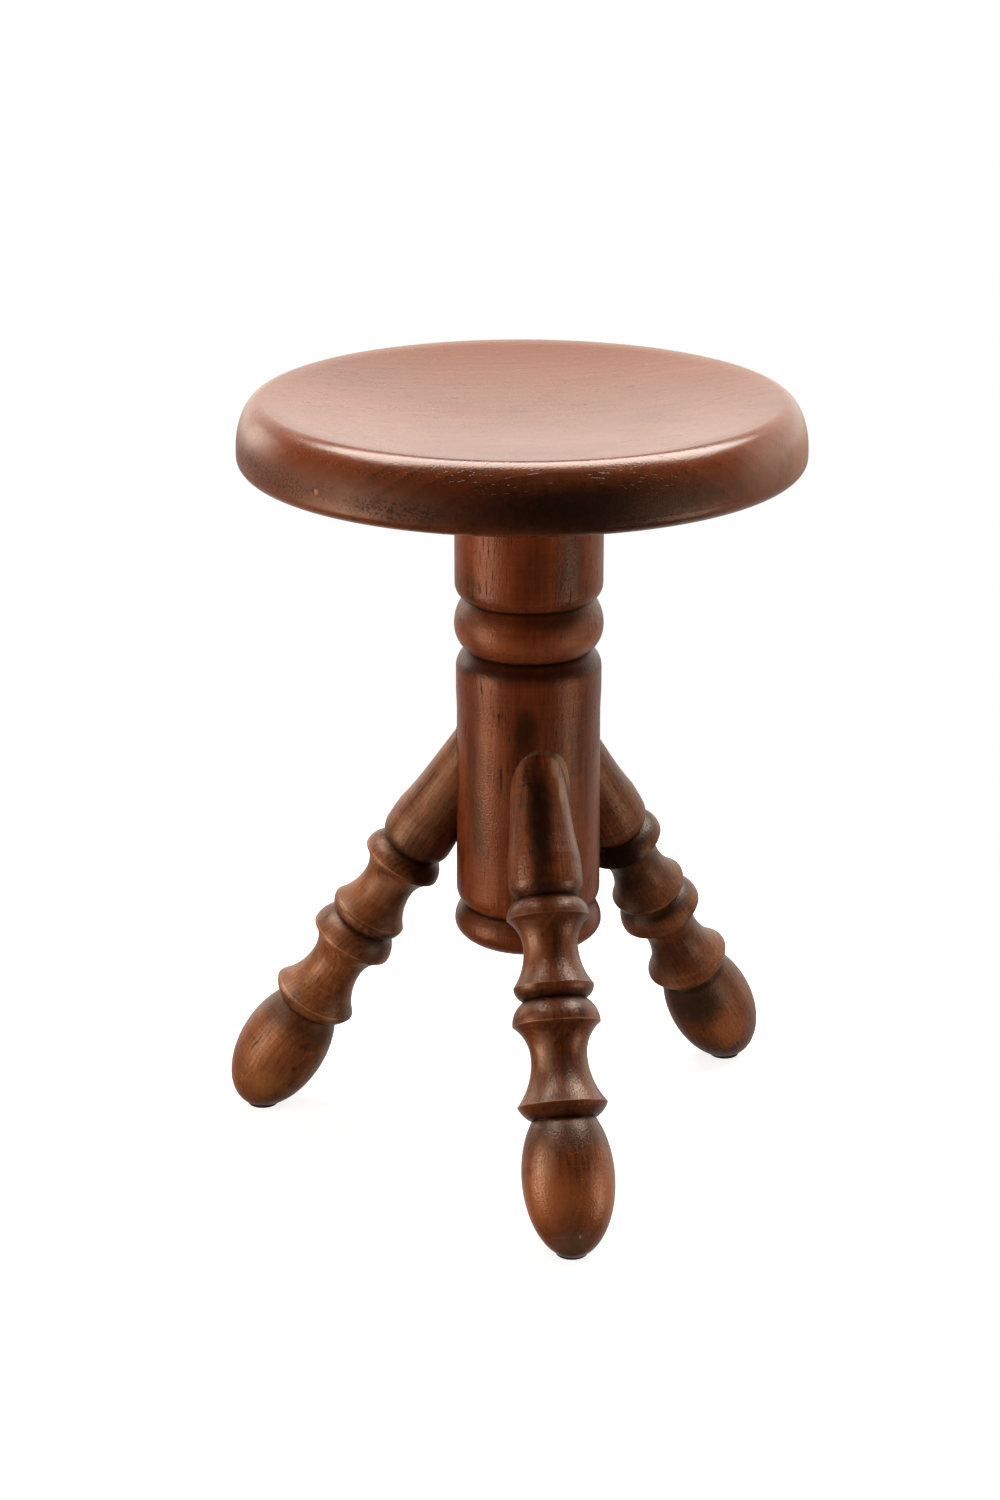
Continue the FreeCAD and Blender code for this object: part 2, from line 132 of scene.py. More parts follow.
def noise(tree, vector, scale, detail=2.0, roughness=0.5, distortion=0.0):
    """Smooth random values from 0 to 1."""
    inputs = {"Vector": vector, "Scale": scale, "Detail": detail, "Roughness": roughness,
              "Distortion": distortion}
    return add(tree, "TexNoise", inputs).outputs["Fac"]


def pattern(tree, vector, recipe):
    """Noise from a recipe: the factors for its axes, then its scale, detail, roughness and distortion."""
    factors, *values = recipe
    return noise(tree, stretched(tree, vector, factors), *values)


def ranged(tree, value, low, high, to_low=0.0, to_high=1.0):
    """A value from low to high, spread smoothly over a new range."""
    inputs = {"Value": value, "From Min": low, "From Max": high, "To Min": to_low, "To Max": to_high}
    return add(tree, "MapRange", inputs, interpolation_type="SMOOTHSTEP").outputs["Result"]


def mixed(tree, amount, first, second, mode="MIX"):
    """Two colours mixed by an amount."""
    made = tree.nodes.new("ShaderNodeMix")
    made.data_type = "RGBA"
    made.blend_type = mode
    colours = [socket for socket in made.inputs if socket.type == "RGBA"]
    feed(tree, made.inputs[0], amount)
    feed(tree, colours[0], first)
    feed(tree, colours[1], second)
    return next(socket for socket in made.outputs if socket.type == "RGBA")


def new_group(name, inputs, outputs):
    """An empty node group with named sockets."""
    tree = bpy.data.node_groups.new(name, "ShaderNodeTree")
    for label, value in inputs.items():
        kind = {3: "Vector", 4: "Color"}[len(value)] if isinstance(value, tuple) else "Float"
        socket = tree.interface.new_socket(label, in_out="INPUT", socket_type=f"NodeSocket{kind}")
        socket.default_value = value
    for label, kind in outputs.items():
        tree.interface.new_socket(label, in_out="OUTPUT", socket_type=f"NodeSocket{kind}")
    return tree, tree.nodes.new("NodeGroupInput").outputs, tree.nodes.new("NodeGroupOutput").inputs


def use(tree, group, **inputs):
    """A group placed in a material, with its own values."""
    made = tree.nodes.new("ShaderNodeGroup")
    made.node_tree = group
    for name, value in inputs.items():
        feed(tree, made.inputs[name.replace("_", " ")], value)
    return made.outputs


print("helpers ready")

# %% [markdown]
# Wood grain has several scales. Growth rings are cylinders round the tree's heart, so a turned piece cuts
# them into arches and ovals. Streaks are bands a few millimetres wide along the grain that took the stain
# unlike their neighbours. Fibres are the hair lines between them, and pores are short dark dashes that show
# as dots on end grain. The turner's tool adds lines of its own, fine rings round the axis that cross the
# fibres as a hatch. All are solid patterns, so they run through the piece and meet its surface the right way
# by themselves. The grain runs along Z of the place that the group gets.

# %% Group: grain
PITH = (0.055, 0.035, 0.0)
RING_STRETCH = (1.0, 1.0, 0.12)
STREAKS = ((1.0, 1.0, 0.05), 260.0, 3.0, 0.6, 0.3)
FIBRES = ((1.0, 1.0, 0.06), 800.0, 4.0, 0.65, 0.2)
TOOL_LINES = ((0.05, 0.05, 1.0), 700.0, 2.0, 0.6)
PORE_DASHES = ((1.0, 1.0, 0.07), 1100.0, 1.0, 0.4)
PORE_CROWDS = ((1.0, 1.0, 0.3), 45.0, 2.0, 0.5)
CROWD_SWING = 0.25
PORE_EDGE = 0.86
PORE_EDGE_FALL = 0.4
PORE_SOFTNESS = 0.05

grain, ins, outs = new_group(
    "grain",
    {"Vector": (0.0, 0.0, 0.0), "Ring Scale": 70.0, "Ring Waviness": 4.0, "Pore Share": 0.4},
    {"Rings": "Float", "Streaks": "Float", "Fibres": "Float", "Pores": "Float", "Tool Lines": "Float"},
)
off_heart = add(grain, "VectorMath", operation="ADD")
feed(grain, off_heart.inputs[0], ins["Vector"])
feed(grain, off_heart.inputs[1], PITH)
along = stretched(grain, off_heart.outputs[0], RING_STRETCH)
ring_inputs = {"Vector": along, "Scale": ins["Ring Scale"], "Distortion": ins["Ring Waviness"],
               "Detail": 3.0, "Detail Scale": 0.35, "Detail Roughness": 0.55}
rings = add(grain, "TexWave", ring_inputs, wave_type="RINGS", rings_direction="Z", wave_profile="SAW")
feed(grain, outs["Rings"], rings.outputs["Fac"])
feed(grain, outs["Streaks"], pattern(grain, ins["Vector"], STREAKS))
feed(grain, outs["Fibres"], pattern(grain, ins["Vector"], FIBRES))
feed(grain, outs["Tool Lines"], pattern(grain, ins["Vector"], TOOL_LINES))
dashes = pattern(grain, ins["Vector"], PORE_DASHES)
crowding = pattern(grain, ins["Vector"], PORE_CROWDS)
crowd_swing = calc(grain, "MULTIPLY", calc(grain, "SUBTRACT", crowding, 0.5), CROWD_SWING)
crowded = calc(grain, "ADD", dashes, crowd_swing)
edge = calc(grain, "SUBTRACT", PORE_EDGE, calc(grain, "MULTIPLY", ins["Pore Share"], PORE_EDGE_FALL))
feed(grain, outs["Pores"], ranged(grain, crowded, edge, calc(grain, "ADD", edge, PORE_SOFTNESS)))
print("grain:", len(grain.nodes), "nodes")

# %% [markdown]
# A wiped stain is never even. It is darker where it soaked in, in clouds a few centimetres wide, and it
# follows the rings, streaks, fibres and tool lines. The group adds these patterns up to one tone, mixes
# three shades of the same stain by it, and then darkens the pores, where the pigment stays.

# %% Group: stain
CLOUD_STRETCH = (1.0, 1.0, 0.45)
DARKEST, MIDDLE, LIGHTEST = 0.1, 0.5, 0.9
PORE_SHADE = (0.16, 0.12, 0.1, 1.0)

stain, ins, outs = new_group(
    "stain",
    {"Vector": (0.0, 0.0, 0.0),
     "Rings": 0.5, "Streaks": 0.5, "Fibres": 0.5, "Pores": 0.0, "Tool Lines": 0.5,
     "Dark": (0.03, 0.009, 0.004, 1.0), "Middle": (0.13, 0.043, 0.018, 1.0),
     "Light": (0.22, 0.085, 0.036, 1.0),
     "Ring Strength": 0.2, "Streak Strength": 0.8, "Fibre Strength": 0.5, "Tool Strength": 0.0,
     "Cloud Strength": 1.5, "Cloud Scale": 22.0},
    {"Color": "Color"},
)
clouds = pattern(stain, ins["Vector"], (CLOUD_STRETCH, ins["Cloud Scale"], 4.0, 0.55, 0.6))
tone = MIDDLE
for figure, strength in ((ins["Rings"], "Ring Strength"), (ins["Streaks"], "Streak Strength"),
                         (ins["Fibres"], "Fibre Strength"), (ins["Tool Lines"], "Tool Strength"),
                         (clouds, "Cloud Strength")):
    swing = calc(stain, "MULTIPLY", calc(stain, "SUBTRACT", figure, 0.5), ins[strength])
    tone = calc(stain, "ADD", swing, tone)
deep = mixed(stain, ranged(stain, tone, DARKEST, MIDDLE), ins["Dark"], ins["Middle"])
full = mixed(stain, ranged(stain, tone, MIDDLE, LIGHTEST), deep, ins["Light"])
pore_colour = mixed(stain, 1.0, full, PORE_SHADE, "MULTIPLY")
feed(stain, outs["Color"], mixed(stain, ins["Pores"], full, pore_colour))
print("stain:", len(stain.nodes), "nodes")

# %% [markdown]
# Two kinds of mark lie over the stain. Turned wood carries bands at one height of its axis: a black line in
# a groove, the stain that pooled beside it, an arris worn pale with a painted highlight on it. And it
# carries
# spots at one place: a soaked patch, a knot, a nick, a patch of painted shade. Noise breaks the outline of
# both, because nothing on a hand-finished stool is ruled. A few spots are no real marks. They are paint,
# laid where the photograph is brighter than the lamps make the piece, and the names of their colours start
# with
# PAINTED. Most stand in for gloss, which is better left to the lacquer and the lamps, because paint stays
# where it is when the view or the light changes.

# %% Groups: band and spot
BAND_GAPS = ((1.0, 1.0, 1.0), 110.0, 3.0, 0.6)
SPOT_EDGE = ((1.0, 1.0, 1.0), 160.0, 3.0, 0.6)

band, ins, outs = new_group(
    "band",
    {"Vector": (0.0, 0.0, 0.0), "Height": 0.0, "Half Width": 0.001, "Broken": 0.3},
    {"Mask": "Float"},
)
height = add(band, "SeparateXYZ", {"Vector": ins["Vector"]}).outputs["Z"]
distance = calc(band, "ABSOLUTE", calc(band, "SUBTRACT", height, ins["Height"]))
line = ranged(band, calc(band, "DIVIDE", distance, ins["Half Width"]), 0.0, 1.0, 1.0, 0.0)
patches = ranged(band, pattern(band, ins["Vector"], BAND_GAPS), 0.35, 0.6)
gaps = calc(band, "MULTIPLY", ins["Broken"], calc(band, "SUBTRACT", 1.0, patches))
kept = calc(band, "SUBTRACT", 1.0, gaps)
feed(band, outs["Mask"], calc(band, "MULTIPLY", line, kept))

spot, ins, outs = new_group(
    "spot",
    {"Vector": (0.0, 0.0, 0.0), "Centre": (0.0, 0.0, 0.0), "Reach": (0.01, 0.01, 0.01), "Broken": 0.6},
    {"Mask": "Float"},
)
away = add(spot, "VectorMath", operation="SUBTRACT")
feed(spot, away.inputs[0], ins["Vector"])
feed(spot, away.inputs[1], ins["Centre"])
shares = add(spot, "VectorMath", operation="DIVIDE")
feed(spot, shares.inputs[0], away.outputs[0])
feed(spot, shares.inputs[1], ins["Reach"])
length = add(spot, "VectorMath", operation="LENGTH")
feed(spot, length.inputs[0], shares.outputs[0])
waver = calc(spot, "SUBTRACT", pattern(spot, ins["Vector"], SPOT_EDGE), 0.5)
ragged = calc(spot, "MULTIPLY", waver, ins["Broken"])
distance = calc(spot, "ADD", length.outputs["Value"], ragged)
feed(spot, outs["Mask"], ranged(spot, distance, 0.25, 1.0, 1.0, 0.0))
print("band:", len(band.nodes), "nodes, spot:", len(spot.nodes), "nodes")

# %% [markdown]
# A satin lacquer is smooth but not even. Handling polishes it in soft patches, and the fibres below it
# still telegraph through. The lathe leaves faint rings round the axis, and the sprayed film has a fine
# orange peel that breaks the highlights into speckles. One group gives the roughness, another the height for
# the bump. Both take how strong this is, because the seat was rubbed smoother than the rest.

# %% Groups: lacquer and lathe marks
POLISHED_PATCHES = ((1.0, 1.0, 1.0), 28.0, 4.0, 0.6, 0.4)
SPECKLES = ((1.0, 1.0, 1.0), 700.0, 2.0, 0.6)
TOOL_RINGS = ((0.04, 0.04, 1.0), 900.0, 2.0, 0.6)
ORANGE_PEEL = ((1.0, 1.0, 1.0), 850.0, 2.0, 0.5)
PORE_MATTING = 0.25

lacquer, ins, outs = new_group(
    "lacquer",
    {"Vector": (0.0, 0.0, 0.0), "Matting": 0.3, "Spread": 0.22, "Pores": 0.0},
    {"Roughness": "Float"},
)
rubbed = calc(lacquer, "SUBTRACT", pattern(lacquer, ins["Vector"], POLISHED_PATCHES), 0.5)
speckle = calc(lacquer, "SUBTRACT", pattern(lacquer, ins["Vector"], SPECKLES), 0.5)
smears = calc(lacquer, "MULTIPLY", calc(lacquer, "ADD", rubbed, speckle), ins["Spread"])
base = calc(lacquer, "ADD", ins["Matting"], smears)
in_pores = calc(lacquer, "MULTIPLY", ins["Pores"], PORE_MATTING)
feed(lacquer, outs["Roughness"], calc(lacquer, "ADD", base, in_pores))

lathe, ins, outs = new_group(
    "lathe_marks",
    {"Vector": (0.0, 0.0, 0.0), "Fibres": 0.5, "Pores": 0.0, "Ring Depth": 0.3, "Fibre Depth": 0.25,
     "Peel Depth": 1.9, "Pore Depth": 0.6},
    {"Height": "Float"},
)
tool_rings = pattern(lathe, ins["Vector"], TOOL_RINGS)
peel = pattern(lathe, ins["Vector"], ORANGE_PEEL)
height = calc(lathe, "MULTIPLY", tool_rings, ins["Ring Depth"])
height = calc(lathe, "ADD", height, calc(lathe, "MULTIPLY", ins["Fibres"], ins["Fibre Depth"]))
height = calc(lathe, "ADD", height, calc(lathe, "MULTIPLY", peel, ins["Peel Depth"]))
height = calc(lathe, "SUBTRACT", height, calc(lathe, "MULTIPLY", ins["Pores"], ins["Pore Depth"]))
feed(lathe, outs["Height"], height)
print("lacquer:", len(lacquer.nodes), "nodes, lathe marks:", len(lathe.nodes), "nodes")

# %% [markdown]
# Every wooden piece goes through the same steps: its own axes, grain, stain, marks, lacquer and lathe marks,
# and then one Principled BSDF. A piece's recipe gives its tones, its marks and its film of lacquer: how matt
# it is, how strongly it mirrors, and the brown tint of its mirror image where one looks straight at it,
# because the stain is in the film too. Open pores are holes that the lacquer did not close. They are dark
# and matt, and show in patches only.

# %% Wood material
BLACK_AND_PAINTED_SHADE = (0.009, 0.0035, 0.002, 1.0)
DARK_STAIN_AND_PAINTED_SHADE = (0.026, 0.008, 0.004, 1.0)
ORANGE_AND_PAINTED_SHEEN = (0.32, 0.1, 0.03, 1.0)
GREYED = (0.06, 0.043, 0.031, 1.0)
FILLED = (0.42, 0.24, 0.155, 1.0)
PALE_WEAR_AND_PAINTED_HIGHLIGHT = (0.4, 0.19, 0.1, 1.0)
PAINTED_BRIGHTER = (0.3, 0.15, 0.09, 1.0)
PAINTED_BEAD_GLOSS = (0.3, 0.14, 0.08, 1.0)
PAINTED_FOOT_END = (0.17, 0.105, 0.075, 1.0)
GREY_BLACK = (0.026, 0.017, 0.012, 1.0)
CHIPPED = (0.6, 0.42, 0.32, 1.0)
BUMP_DEPTH = 0.00012
LEVEL_GAPS = 0.2
OPEN_PORES = ((1.0, 1.0, 0.4), 950.0, 1.0)
OPEN_PORE_EDGE = (0.51, 0.56)
OPEN_PORE_MATTING = 0.4


def new_material(name):
    """A material with only its output, and its tree."""
    material = bpy.data.materials.new(name)
    material.use_nodes = True
    material.node_tree.nodes.clear()
    return material, material.node_tree


def piece_axes(tree, origin, turn):
    """Places on the piece, measured along its own axes."""
    place = add(tree, "TexCoord").outputs["Object"]
    inputs = {"Vector": place, "Location": origin, "Rotation": turn}
    return add(tree, "Mapping", inputs, vector_type="TEXTURE").outputs["Vector"]


def band_at(height, half_width, strength, colour, broken=0.2):
    """A mark round the piece at one height of its axis."""
    return band, {"Height": height, "Half_Width": half_width, "Broken": broken}, strength, colour


def spot_at(centre, reach, strength, colour, broken=0.6):
    """A mark at one place of the piece."""
    return spot, {"Centre": centre, "Reach": reach, "Broken": broken}, strength, colour


def film(matting, shine, tint, spread=0.22, peel=1.9):
    """A film of lacquer: how matt it is, its mirror image's strength and tint, its patches and its peel."""
    return {"matting": matting, "shine": shine, "tint": (*tint, 1.0), "spread": spread, "peel": peel}


def wood(name, origin, turn, tones, grain_values, stain_values, coat, marks=(), open_pores=(), painted_shade_levels=()):
    """Stained and lacquered wood, grain along the piece's Z, with painted shade in bands of world height."""
    material, tree = new_material(name)
    place = piece_axes(tree, origin, turn)
    figure = use(tree, grain, Vector=place, **grain_values)
    patterns = {key.replace(" ", "_"): figure[key]
                for key in ("Rings", "Streaks", "Fibres", "Pores", "Tool Lines")}
    shades = dict(zip(("Dark", "Middle", "Light"), tones))
    colour = use(tree, stain, Vector=place, **shades, **patterns, **stain_values)["Color"]
    sheen = {"Matting": coat["matting"], "Spread": coat["spread"], "Pores": figure["Pores"]}
    rough = use(tree, lacquer, Vector=place, **sheen)["Roughness"]
    # Painted shade, partly stain: each level darkens a band of world height and makes it more matt.
    for height, half_width, strength, matting in painted_shade_levels:
        upright = add(tree, "TexCoord").outputs["Object"]
        extent = {"Height": height, "Half_Width": half_width, "Broken": LEVEL_GAPS}
        mask = use(tree, band, Vector=upright, **extent)["Mask"]
        colour = mixed(tree, calc(tree, "MULTIPLY", mask, strength), colour, DARK_STAIN_AND_PAINTED_SHADE)
        rough = calc(tree, "ADD", rough, calc(tree, "MULTIPLY", mask, matting))
    for centre, reach, strength in open_pores:
        holes = ranged(tree, pattern(tree, place, OPEN_PORES), *OPEN_PORE_EDGE)
        mask = use(tree, spot, Vector=place, Centre=centre, Reach=reach, Broken=1.0)["Mask"]
        mask = calc(tree, "MULTIPLY", calc(tree, "MULTIPLY", holes, mask), strength)
        colour = mixed(tree, mask, colour, DARK_STAIN_AND_PAINTED_SHADE)
        rough = calc(tree, "ADD", rough, calc(tree, "MULTIPLY", mask, OPEN_PORE_MATTING))
    for group, values, strength, shade in marks:
        mask = use(tree, group, Vector=place, **values)["Mask"]
        colour = mixed(tree, calc(tree, "MULTIPLY", mask, strength), colour, shade)
    surface = {"Fibres": figure["Fibres"], "Pores": figure["Pores"], "Peel_Depth": coat["peel"]}
    relief = use(tree, lathe, Vector=place, **surface)["Height"]
    normal = add(tree, "Bump", {"Height": relief, "Distance": BUMP_DEPTH, "Strength": 1.0}).outputs["Normal"]
    shader = add(tree, "BsdfPrincipled", {"Base Color": colour, "Roughness": rough, "Normal": normal})
    shader.inputs["Specular Tint"].default_value = coat["tint"]
    shader.inputs["Specular IOR Level"].default_value = coat["shine"]
    feed(tree, add(tree, "OutputMaterial").inputs["Surface"], shader.outputs["BSDF"])
    return material


def dress(node, material):
    """Give a solid its material."""
    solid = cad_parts[node]
    solid.data.materials.clear()
    solid.data.materials.append(material)
    print(f"{node}: {material.name}")


# %% [markdown]
# The seat is cut from boards with the grain left to right, so its growth rings show as faint arcs, and its
# pores run along the faces and show as dots on the left end, where two patches of them stand open. Its axes
# have Z along the grain, so a place on it is down, back and right from its centre. The side is darker than
# the top, most of all in front: a band of height round the side and a patch at the front darken it, partly
# as stain and partly as painted shade. The lighter right end is a painted sheen, and so is the patch at the
# front right that is painted brighter.

# %% Seat
SEAT_TONES = ((0.05, 0.011, 0.003, 1.0), (0.155, 0.036, 0.01, 1.0), (0.22, 0.062, 0.02, 1.0))
PAINTED_SHEEN_END = (0.3, 0.125, 0.05, 1.0)
seat_wood = wood(
    "seat_wood", SEAT_CENTRE, (0, math.pi / 2, 0), SEAT_TONES,
    {"Ring_Scale": 38.0, "Ring_Waviness": 7.0, "Pore_Share": 0.35},
    {"Ring_Strength": 0.2, "Streak_Strength": 0.3, "Fibre_Strength": 0.5, "Cloud_Strength": 0.7,
     "Cloud_Scale": 14.0},
    film(0.24, 0.56, (1.0, 0.73, 0.56), spread=0.12, peel=0.7),
    marks=(
        # Stain and painted shade: the dark front of the seat's side.
        spot_at((0.004, -0.168, 0.03), (0.024, 0.06, 0.125), 0.8, BLACK_AND_PAINTED_SHADE),
        # Painted sheen: the lighter right end of the seat.
        spot_at((0.002, -0.05, 0.165), (0.022, 0.11, 0.06), 0.6, PAINTED_SHEEN_END),
        # Painted sheen at the front right of the side.
        spot_at((-0.0024, -0.11, 0.119), (0.018, 0.03, 0.036), 0.22, PAINTED_BRIGHTER),
        spot_at((0.0018, -0.153, 0.0503), (0.015, 0.02, 0.03), 0.08, ORANGE_AND_PAINTED_SHEEN),
        spot_at((0.0047, -0.1006, -0.126), (0.0022, 0.0022, 0.0022), 0.6, PALE_WEAR_AND_PAINTED_HIGHLIGHT, 0.2),
    ),
    open_pores=(
        ((0.0045, -0.065, -0.15), (0.012, 0.075, 0.07), 0.9),
        ((0.0075, -0.138, -0.088), (0.0105, 0.04, 0.055), 0.9),
    ),
    # Stain and painted shade: the seat's side, darkened and made more matt round its height.
    painted_shade_levels=((0.428, 0.019, 0.55, 0.26),),
)
dress("seat", seat_wood)

# %% [markdown]
# The column's grain runs straight up, and streaks of orange and brown stand side by side in it. Its grooves
# hold a black line of stain, which pooled in a broad dark band on the shoulder below the bead. That band,
# the dark top of the bead and the dark right of the collar are partly painted shade, and a dark strip low on
# the left, beside the highlight of the left lamp, is painted shade. The collar is the most orange part. A
# band of painted sheen runs round the bead. Beside the front leg's joint, filler was wiped off and left pale
# smears.
# The bead has three patches that are painted brighter. The lowest stands in for a small highlight. Whether
# the photograph shows gloss or stain at the other two can't be told. Places on the column are right, back
# and up from the point where the legs' axes meet.

# %% Column
COLLAR_GROOVE = 0.0411
BODY_GROOVE = 0.0104
END_GROOVE = -0.145
COLLAR_ORANGE = (0.3, 0.06, 0.01, 1.0)
COLUMN_TONES = ((0.026, 0.005, 0.001, 1.0), (0.128, 0.028, 0.0075, 1.0), (0.225, 0.058, 0.016, 1.0))
column_wood = wood(
    "column_wood", (0, 0, MEETING_HEIGHT), (0, 0, 0), COLUMN_TONES,
    {"Ring_Scale": 60.0, "Ring_Waviness": 3.0, "Pore_Share": 0.45},
    {"Ring_Strength": 0.1, "Streak_Strength": 0.35, "Fibre_Strength": 0.7, "Tool_Strength": 0.4,
     "Cloud_Strength": 1.3, "Cloud_Scale": 24.0},
    film(0.36, 0.46, (1.0, 0.58, 0.39)),
    marks=(
        band_at(0.08, 0.036, 0.25, COLLAR_ORANGE, 0.4),
        band_at(0.116, 0.012, 0.5, DARK_STAIN_AND_PAINTED_SHADE),
        # Stain and painted shade at the top of the bead, under the collar's groove.
        band_at(0.037, 0.006, 0.45, DARK_STAIN_AND_PAINTED_SHADE),
        # Painted sheen round the bead.
        band_at(0.022, 0.009, 0.3, ORANGE_AND_PAINTED_SHEEN, 0.5),
        # Pooled stain and painted shade on the shoulder below the bead.
        band_at(0.0055, 0.0085, 0.9, BLACK_AND_PAINTED_SHADE, 0.1),
        band_at(-0.149, 0.008, 0.6, DARK_STAIN_AND_PAINTED_SHADE),
        band_at(COLLAR_GROOVE, 0.0024, 0.95, BLACK_AND_PAINTED_SHADE, 0.05),
        band_at(BODY_GROOVE, 0.0026, 0.95, BLACK_AND_PAINTED_SHADE, 0.05),
        band_at(END_GROOVE, 0.0026, 0.95, BLACK_AND_PAINTED_SHADE, 0.05),
        spot_at((-0.0082, -0.0408, -0.029), (0.011, 0.016, 0.024), 0.75, BLACK_AND_PAINTED_SHADE),
        spot_at((-0.0031, -0.0426, 0.0676), (0.014, 0.016, 0.024), 0.4, DARK_STAIN_AND_PAINTED_SHADE),
        # Stain and painted shade on the right of the collar.
        spot_at((0.0185, -0.0385, 0.072), (0.014, 0.014, 0.04), 0.75, BLACK_AND_PAINTED_SHADE),
        spot_at((0.017, -0.038, 0.037), (0.014, 0.014, 0.009), 0.5, DARK_STAIN_AND_PAINTED_SHADE),
        spot_at((0.026, -0.033, 0.031), (0.012, 0.012, 0.008), 0.3, PAINTED_BRIGHTER),
        spot_at((-0.0344, -0.0233, 0.032), (0.012, 0.012, 0.009), 0.17, PAINTED_BRIGHTER),
        spot_at((0.0031, -0.04, 0.0374), (0.022, 0.02, 0.008), 0.5, DARK_STAIN_AND_PAINTED_SHADE),
        # Painted shade: a dark strip low on the left, beside the left lamp's highlight.
        spot_at((-0.032, -0.027, -0.097), (0.006, 0.01, 0.03), 0.6, DARK_STAIN_AND_PAINTED_SHADE),
        spot_at((0.027, -0.033, 0.017), (0.014, 0.014, 0.008), 0.4, PAINTED_BEAD_GLOSS),
        # Painted shade: a longer dark strip on the left, beside the left lamp's highlight.
        spot_at((-0.035, -0.024, -0.055), (0.008, 0.012, 0.09), 0.5, DARK_STAIN_AND_PAINTED_SHADE),
        spot_at((0.0118, -0.0402, -0.051), (0.0045, 0.005, 0.009), 0.6, FILLED, 1.0),
        spot_at((0.014, -0.0395, -0.067), (0.003, 0.004, 0.014), 0.5, FILLED, 1.0),
        spot_at((-0.0212, -0.036, -0.0567), (0.0009, 0.004, 0.013), 0.9, BLACK_AND_PAINTED_SHADE, 0.3),
        spot_at((-0.0229, -0.035, -0.0195), (0.001, 0.003, 0.0016), 0.85, BLACK_AND_PAINTED_SHADE, 0.2),
    ),
)
dress("column", column_wood)

# %% [markdown]
# The legs come from three blanks, so no two match. The left leg is the warmest, with small knots and a
# yellow patch on its foot. The front one has a dark streak of painted shade down its cone, and a foot that
# is orange at mid height, with painted sheen on the orange at its left and right. The right one is the
# darkest, and painted shade darkens its coves. On the left and right legs the lower sides of the rings, and
# the left leg's cone, are painted shade. On all three the stain pooled at the top of the foot, and the
# foot's end is duller and greyer. Each ring's arris is worn pale and carries a painted highlight. In the
# coves of the front and left legs, on the left cone and on the left of the front foot, paint stands in for
# gloss, and the front foot's end is painted brighter.
# A place on a leg is measured from the point where the axes meet: the last number runs down the leg's axis,
# and the first one is negative on its upper side.

# %% Legs
FIRST_GROOVE = 0.1374
FIRST_RING = 0.1487
SECOND_RING = 0.1878
SECOND_GROOVE = 0.1957
THIRD_RING = 0.2095
FOURTH_RING = 0.2551
FOOT_GROOVE = 0.2635
YELLOWED = (0.3, 0.13, 0.035, 1.0)
LEG_TONES = {
    "front": ((0.018, 0.005, 0.002, 1.0), (0.14, 0.032, 0.007, 1.0), (0.28, 0.075, 0.018, 1.0)),
    "left": ((0.03, 0.009, 0.003, 1.0), (0.155, 0.045, 0.013, 1.0), (0.28, 0.095, 0.03, 1.0)),
    "right": ((0.026, 0.007, 0.002, 1.0), (0.125, 0.034, 0.009, 1.0), (0.24, 0.072, 0.02, 1.0)),
}
LEG_FILMS = {
    "front": film(0.34, 0.68, (1.0, 0.68, 0.48)),
    "left": film(0.42, 0.65, (1.0, 0.68, 0.47)),
    "right": film(0.44, 0.6, (1.0, 0.7, 0.5)),
}
BLANK_SHIFT = 0.003
ALL_LEG_MARKS = (
    band_at(FOOT_GROOVE + 0.006, 0.017, 0.75, DARK_STAIN_AND_PAINTED_SHADE, 0.3),
    band_at(0.347, 0.018, 0.4, GREYED, 0.3),
    band_at(FIRST_GROOVE - 0.003, 0.009, 0.7, DARK_STAIN_AND_PAINTED_SHADE, 0.2),
    band_at(SECOND_GROOVE, 0.006, 0.5, DARK_STAIN_AND_PAINTED_SHADE, 0.2),
    band_at(FIRST_GROOVE, 0.003, 0.95, BLACK_AND_PAINTED_SHADE, 0.05),
    band_at(SECOND_GROOVE, 0.0028, 0.95, BLACK_AND_PAINTED_SHADE, 0.05),
    band_at(FOOT_GROOVE, 0.0028, 0.95, BLACK_AND_PAINTED_SHADE, 0.05),
    # The pale line on each ring's arris: wear with a painted highlight on it.
    band_at(FIRST_RING, 0.0006, 0.75, PALE_WEAR_AND_PAINTED_HIGHLIGHT, 0.6),
    band_at(SECOND_RING, 0.0006, 0.75, PALE_WEAR_AND_PAINTED_HIGHLIGHT, 0.6),
    band_at(THIRD_RING, 0.0006, 0.75, PALE_WEAR_AND_PAINTED_HIGHLIGHT, 0.6),
    band_at(FOURTH_RING, 0.0006, 0.75, PALE_WEAR_AND_PAINTED_HIGHLIGHT, 0.6),
)
